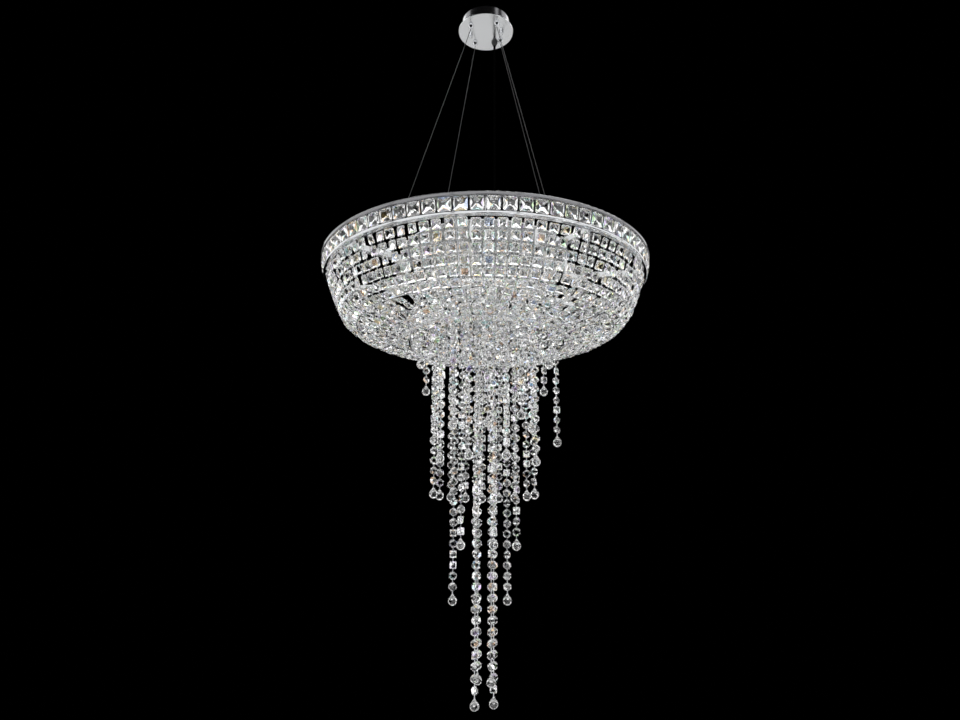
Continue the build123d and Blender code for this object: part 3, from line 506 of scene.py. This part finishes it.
# Rim crystals
def make_band():
    """Square stones that lean with the two hoops, each a little loose on its pins."""
    top = Vector((RIM_RADIUS, 0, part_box("upper_hoop")[0][2]))
    foot = Vector((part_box("lower_hoop")[1][0], 0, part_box("lower_hoop")[1][2]))
    lean = math.atan2(top.x - foot.x, top.z - foot.z)
    place = Matrix.Translation((top + foot) / 2) @ Matrix.Rotation(lean, 4, "Y")
    place = place @ Matrix.Translation((TILE_STANDS_OUT - TILE_DEPTH / 2, 0, 0))
    cuts = square_stones(TILE_SIZE, TILE_SIZE, TILE_DEPTH, TILE_BEVEL, TILE_TABLES)
    builder = MeshBuilder()
    for index in range(TILE_COUNT):
        azimuth = (index + 0.5) * 360 / TILE_COUNT
        builder.add(random.choice(cuts), at(azimuth) @ place @ loose_turn(TILE_LOOSE), BOWL_PAINTED_FIRE)
    piece = builder.build("rim_crystals", CRYSTAL, "chandelier")
    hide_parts("band_crystals")


# Bowl crystals
def bowl_place(along):
    """A place on the bowl's profile: local -Z runs down the profile, local X points outward."""
    turn_most = math.pi / 2 - BOWL_FLOOR_SLOPE - BOWL_WALL_LEAN
    turn = BOWL_WALL_LEAN + min(max(along - BOWL_WALL_LENGTH, 0) / BOWL_CORNER_RADIUS, turn_most)
    wall = min(along, BOWL_WALL_LENGTH)
    floor = max(along - BOWL_WALL_LENGTH - turn_most * BOWL_CORNER_RADIUS, 0)
    radius = BOWL_START_RADIUS - wall * math.sin(BOWL_WALL_LEAN) - floor * math.sin(turn)
    height = RIM_BOTTOM - wall * math.cos(BOWL_WALL_LEAN) - floor * math.cos(turn)
    radius += BOWL_CORNER_RADIUS * (math.cos(turn) - math.cos(BOWL_WALL_LEAN))
    height -= BOWL_CORNER_RADIUS * (math.sin(turn) - math.sin(BOWL_WALL_LEAN))
    return Matrix.Translation((radius, 0, height)) @ Matrix.Rotation(turn, 4, "Y")


def loose_turn(most):
    """A small random turn, as a stone on loose pins takes."""
    turn = Matrix.Rotation(random.uniform(-most, most), 4, "Z")
    return turn @ Matrix.Rotation(random.uniform(-most, most) / 2, 4, "Y")


def make_bowl_strands(name, count, first_azimuth, first_square, squares, replaced):
    """Strands of squares down the bowl's profile, every stone turned at random on its pins."""
    cuts = square_stones(SQUARE_WIDTH, SQUARE_LENGTH, SQUARE_THICKNESS, SQUARE_BEVEL, SQUARE_TABLES)
    stones = MeshBuilder()
    pins = MeshBuilder()
    for strand in range(count):
        azimuth = first_azimuth + 360 / count * strand
        first = FIRST_SQUARE_ALONG + first_square * SQUARE_PITCH + random.uniform(0, STRAND_SLACK)
        alongs = [first + i * SQUARE_PITCH for i in range(squares)]
        places = [at(azimuth) @ bowl_place(along) for along in alongs]
        for place in places:
            turned = Matrix.Rotation(random.choice((0, math.pi)), 4, "Z")
            stones.add(random.choice(cuts), place @ loose_turn(SQUARE_LOOSE) @ turned, BOWL_PAINTED_FIRE)
        ends = [place @ Vector((0, 0, SQUARE_LENGTH / 2)) for place in places]
        starts = [place @ Vector((0, 0, -SQUARE_LENGTH / 2)) for place in places]
        for start, end in zip(starts, ends[1:]):
            pins.add(*rod_between(start, end, PIN_RADIUS))
    piece = stones.build(f"{name}_crystals", CRYSTAL, "chandelier")
    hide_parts(*replaced)
    pins.build(f"{name}_pins", WIRE, "chandelier")


# Cascade crystals
def corner(pick, points):
    """The least or greatest X, Y and Z of some points."""
    return Vector(pick(point[axis] for point in points) for axis in range(3))


def islands(node):
    """The lowest and highest corner of each separate solid in a node."""
    mesh = nodes[node].data
    parent = list(range(len(mesh.vertices)))

    def root(i):
        while parent[i] != i:
            parent[i] = parent[parent[i]]
            i = parent[i]
        return i

    seen = {}
    for vertex in mesh.vertices:
        key = tuple(round(c, WELD_DECIMALS) for c in vertex.co)
        parent[vertex.index] = seen.setdefault(key, vertex.index)
    for edge in mesh.edges:
        parent[root(edge.vertices[0])] = root(edge.vertices[1])
    groups = {}
    for vertex in mesh.vertices:
        groups.setdefault(root(vertex.index), []).append(vertex.co)
    return [(corner(min, group), corner(max, group)) for group in groups.values()]


def make_cascade(node, body):
    """Bead strands with a drop at each end, one for every solid of a node."""
    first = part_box("hanging_plate")[0][2] - FIRST_BEAD_DROP - BEAD_HEIGHT / 2
    octagon = octagon_stone(BEAD_WIDTH / FLAT_TO_CORNER * OCTAGON_WIDTH, BEAD_HEIGHT * OCTAGON_HEIGHT,
                            BEAD_THICKNESS)
    square = square_stone(BEAD_WIDTH * SQUARE_BEAD_WIDTH, BEAD_HEIGHT * SQUARE_BEAD_HEIGHT,
                          BEAD_THICKNESS * SQUARE_BEAD_THICKNESS, SQUARE_BEVEL, SQUARE_BEAD_TABLE)
    drop = drop_stone(DROP_RADIUS, DROP_NECK)
    stones = MeshBuilder()
    pins = MeshBuilder()
    for low, high in islands(node):
        x, y = (low.x + high.x) / 2, (low.y + high.y) / 2
        drop_middle = low.z + DROP_RADIUS
        neck = drop_middle + DROP_NECK
        count = round((first - BEAD_HEIGHT / 2 - neck) / BEAD_PITCH) + 1
        heights = [first - i * BEAD_PITCH for i in range(count)]
        turn = random.uniform(-STRAND_TURN, STRAND_TURN)
        for height in heights:
            twist = Matrix.Rotation(-math.pi / 2 + turn, 4, "Z") @ loose_turn(BEAD_LOOSE)
            stone = square if random.random() < SQUARE_BEAD_CHANCE else octagon
            stones.add(stone, Matrix.Translation((x, y, height)) @ twist, CASCADE_PAINTED_FIRE)
        hang = Matrix.Translation((x, y, drop_middle)) @ Matrix.Rotation(turn, 4, "Z")
        stones.add(drop, hang)
        tops = [high.z] + [h - BEAD_HEIGHT * PIN_END_IN_BEAD for h in heights]
        lows = [h + BEAD_HEIGHT * PIN_END_IN_BEAD for h in heights]
        lows.append(drop_middle + DROP_NECK * PIN_END_IN_DROP)
        for top, bottom in zip(tops, lows):
            pins.add(*rod_between(Vector((x, y, top)), Vector((x, y, bottom)), PIN_RADIUS))
    piece = stones.build(f"{node}_crystals", CRYSTAL, body)
    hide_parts(node)
    pins.build(f"{node}_pins", WIRE, body)


# Wires and cord, copied from their nodes to move with the ceiling mount
def make_shortening(name, node, material):
    """A copy of a node's mesh with its own material, which moves with the ceiling mount."""
    mesh = nodes[node].data.copy()
    mesh.materials.clear()
    mesh.materials.append(material)
    piece = link_object(name, mesh)
    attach(piece, "ceiling_mount")
    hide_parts(node)
    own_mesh(piece)


# Stage, light and camera
def make_floor():
    """A round pale floor below the lowest panels."""
    mesh = bpy.data.meshes.new("floor")
    ring = circle_ring(FLOOR_SIDES, FLOOR_RADIUS, cad_box[0][2] - FLOOR_BELOW)
    mesh.from_pydata(ring, [], [list(range(FLOOR_SIDES))])
    mesh.materials.append(plain_material("pale_floor", (0.78, 0.78, 0.77), 0.7, 0.1, 60.0))
    link_object("floor", mesh)


def add_softbox(name, azimuth, elevation, distance, width, height, radiance):
    """A soft panel that faces the bowl; radiance is how bright it looks."""
    target = Vector((0, 0, RIM_BOTTOM - AIM_BELOW_RIM))
    a, e = math.radians(azimuth), math.radians(elevation)
    toward = Vector((math.sin(a) * math.cos(e), -math.cos(a) * math.cos(e), math.sin(e)))
    light = bpy.data.lights.new(name, "AREA")
    light.shape = "RECTANGLE"
    light.size = width
    light.size_y = height
    light.energy = radiance * math.pi * width * height
    panel = link_object(name, light)
    panel.location = target + toward * distance
    panel.rotation_euler = toward.to_track_quat("Z", "Y").to_euler()
    panel.visible_camera = False


def make_world():
    """A dark room: the panels are its only light."""
    world = bpy.data.worlds.new("studio")
    bpy.context.scene.world = world
    world.use_nodes = True
    background = world.node_tree.nodes["Background"]
    background.inputs["Color"].default_value = (0.0, 0.0, 0.0, 1)


def make_lights():
    """Rings of soft panels round the bowl, with dark gaps between them."""
    for ring, azimuths, elevation, distance, width, height, radiance in PANEL_RINGS:
        for index, azimuth in enumerate(azimuths, 1):
            add_softbox(f"{ring}_{index}", azimuth, elevation, distance, width, height, radiance)


def make_camera():
    """The camera fitted to the photograph."""
    data = bpy.data.cameras.new("camera")
    data.sensor_width = SENSOR_WIDTH
    data.lens = FOCAL_PIXELS / PHOTO_WIDTH * SENSOR_WIDTH
    data.shift_x = -AXIS_PIXEL_FROM_MIDDLE / PHOTO_WIDTH
    camera = link_object("camera", data)
    aim = Matrix.Rotation(math.pi / 2 + CAMERA_TILT, 4, "X") @ Matrix.Rotation(CAMERA_ROLL, 4, "Z")
    camera.matrix_world = Matrix.Translation((0, -CAMERA_FROM_AXIS, RIM_TOP - CAMERA_BELOW_RIM)) @ aim
    bpy.context.scene.camera = camera


bpy.context.scene.view_settings.view_transform = "Standard"
bpy.context.scene.cycles.max_bounces = GLASS_BOUNCES
bpy.context.scene.cycles.transmission_bounces = GLASS_BOUNCES
bpy.context.scene.cycles.glossy_bounces = GLOSSY_BOUNCES
dress_nodes()
make_band()
make_bowl_strands("bowl_wall", WALL_STRANDS, FIRST_WIRE_AZIMUTH + 180 / WALL_STRANDS, 0, WALL_SQUARES,
                  [f"wall_strands_{i + 1}" for i in range(WALL_STRAND_NODES)])
make_bowl_strands("bowl_floor", FLOOR_STRANDS, FIRST_WIRE_AZIMUTH, WALL_SQUARES, FLOOR_SQUARES,
                  [f"floor_strands_{i + 1}" for i in range(FLOOR_STRAND_NODES)])
for circle in ("inner", "middle", "outer"):
    make_cascade(f"cascade_{circle}", "chandelier")
for number in range(1, CORE_STRANDS + 1):
    make_cascade(f"core_strand_{number}", f"core_strand_{number}")
make_cascade("long_strand", "long_strand")
make_shortening("hanging_wires", "suspension_wires", SHADED_CABLE)
make_shortening("supply_cord", "power_cord", JACKET)
make_floor()
make_world()
make_lights()
make_camera()
